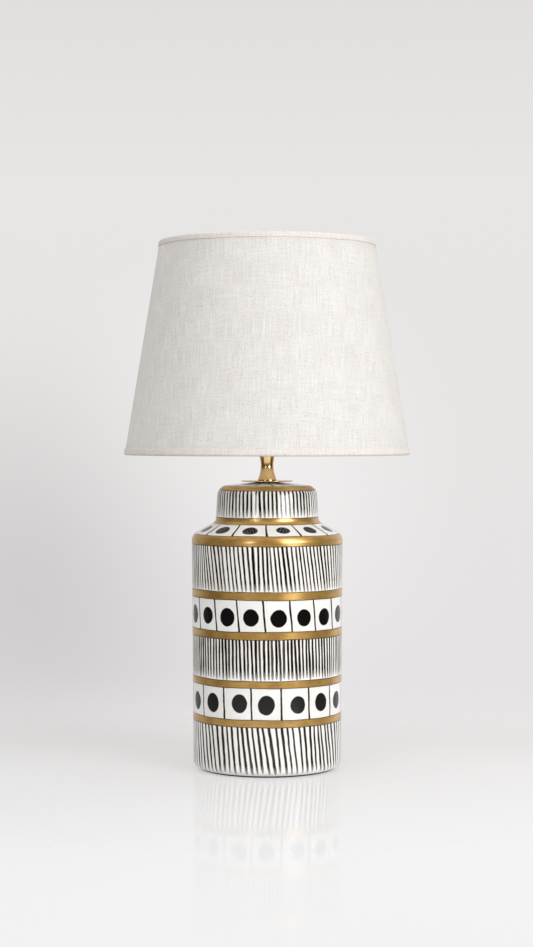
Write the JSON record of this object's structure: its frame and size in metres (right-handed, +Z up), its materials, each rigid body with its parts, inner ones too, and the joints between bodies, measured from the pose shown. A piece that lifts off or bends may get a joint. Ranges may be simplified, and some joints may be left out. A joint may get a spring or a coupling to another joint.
{
  "type": "table lamp",
  "caption": "Cylindrical glazed ceramic jar lamp with painted stripes, dots and gilt bands, a brass neck, a harp and a tapered linen shade.",
  "frame": {"origin": "middle of the felt pad's underside, on the lamp's axis", "axes": "+Z up along the lamp's axis, -Y towards the front of the picture, +Y towards the cord inlet, the harp across X"},
  "size_m": [0.3043, 0.3043, 0.56],
  "materials": {
    "felt": "matte",
    "glazed_earthenware": "gloss",
    "black_nylon": "satin",
    "zinc_steel": "satin",
    "gasket_rubber": "matte",
    "polished_brass": "polished",
    "brassed_steel": "satin",
    "socket_brass": "satin",
    "fibre_sleeve": "matte",
    "phenolic": "satin",
    "aluminium": "satin",
    "white_enamel_wire": "gloss",
    "styrene": "satin",
    "linen": "matte",
    "solder": "satin",
    "black_glass": "gloss",
    "opal_glass": "gloss"
  },
  "bodies": {
    "lamp_base": {"felt_pad": "felt", "ceramic_jar": "glazed_earthenware", "cord_bushing": "black_nylon", "threaded_pipe": "zinc_steel", "foot_gasket": "gasket_rubber", "foot_washer": "zinc_steel", "foot_lock_washer": "zinc_steel", "foot_nut": "zinc_steel", "crown_gasket": "gasket_rubber", "vase_cap": "polished_brass", "neck": "polished_brass", "check_ring": "polished_brass", "harp_saddle": "brassed_steel", "saddle_nut": "zinc_steel", "socket_cap": "socket_brass", "socket_set_screw": "zinc_steel", "socket_shell": "socket_brass", "socket_sleeve": "fibre_sleeve", "socket_body": "phenolic", "screw_shell": "aluminium", "centre_contact": "socket_brass", "terminal_screw_live": "socket_brass", "terminal_screw_neutral": "zinc_steel", "harp_bow": "brassed_steel", "harp_stud": "brassed_steel"},
    "shade": {"spider_frame": "white_enamel_wire", "bottom_ring": "white_enamel_wire", "shade_liner": "styrene", "shade_linen": "linen", "top_trim": "linen", "bottom_trim": "linen"},
    "finial_seat": {"finial_base": "polished_brass"},
    "finial": {"finial_knob": "polished_brass"},
    "bulb_seat": {"bulb_tip": "solder"},
    "bulb": {"bulb_insulator": "black_glass", "bulb_screw_cap": "aluminium", "bulb_glass": "opal_glass"},
    "switch": {"switch_shaft": "socket_brass", "switch_knob": "black_nylon"},
    "left_ferrule": {"ferrule_left": "brassed_steel"},
    "right_ferrule": {"ferrule_right": "brassed_steel"}
  },
  "joints": [
    {"name": "shade_swivel", "type": "hinge", "parent": "lamp_base", "child": "shade", "pos_m": [0, 0, 0.541], "axis": [0, 0, 1], "continuous": true},
    {"name": "finial_lift", "type": "slide", "parent": "lamp_base", "child": "finial_seat", "axis": [0, 0, 1], "range_m": [0, 0.00706]},
    {"name": "finial_turn", "type": "hinge", "parent": "finial_seat", "child": "finial", "pos_m": [0, 0, 0.551], "axis": [0, 0, 1], "range_deg": [0, 2700]},
    {"name": "bulb_lift", "type": "slide", "parent": "lamp_base", "child": "bulb_seat", "axis": [0, 0, 1], "range_m": [0, 0.01814]},
    {"name": "bulb_turn", "type": "hinge", "parent": "bulb_seat", "child": "bulb", "pos_m": [0, 0, 0.383], "axis": [0, 0, 1], "range_deg": [0, 1800]},
    {"name": "switch_turn", "type": "hinge", "parent": "lamp_base", "child": "switch", "pos_m": [0, -0.018, 0.3695], "axis": [0, -1, 0], "continuous": true},
    {"name": "ferrule_left_slide", "type": "slide", "parent": "lamp_base", "child": "left_ferrule", "axis": [0, 0, 1], "range_m": [0, 0.015]},
    {"name": "ferrule_right_slide", "type": "slide", "parent": "lamp_base", "child": "right_ferrule", "axis": [0, 0, 1], "range_m": [0, 0.015]}
  ],
  "couplings": [
    {"joint": "finial_turn", "follows": "finial_lift", "rad_per_m": 6679},
    {"joint": "bulb_lift", "follows": "bulb_turn", "m_per_rad": 0.00057751}
  ]
}
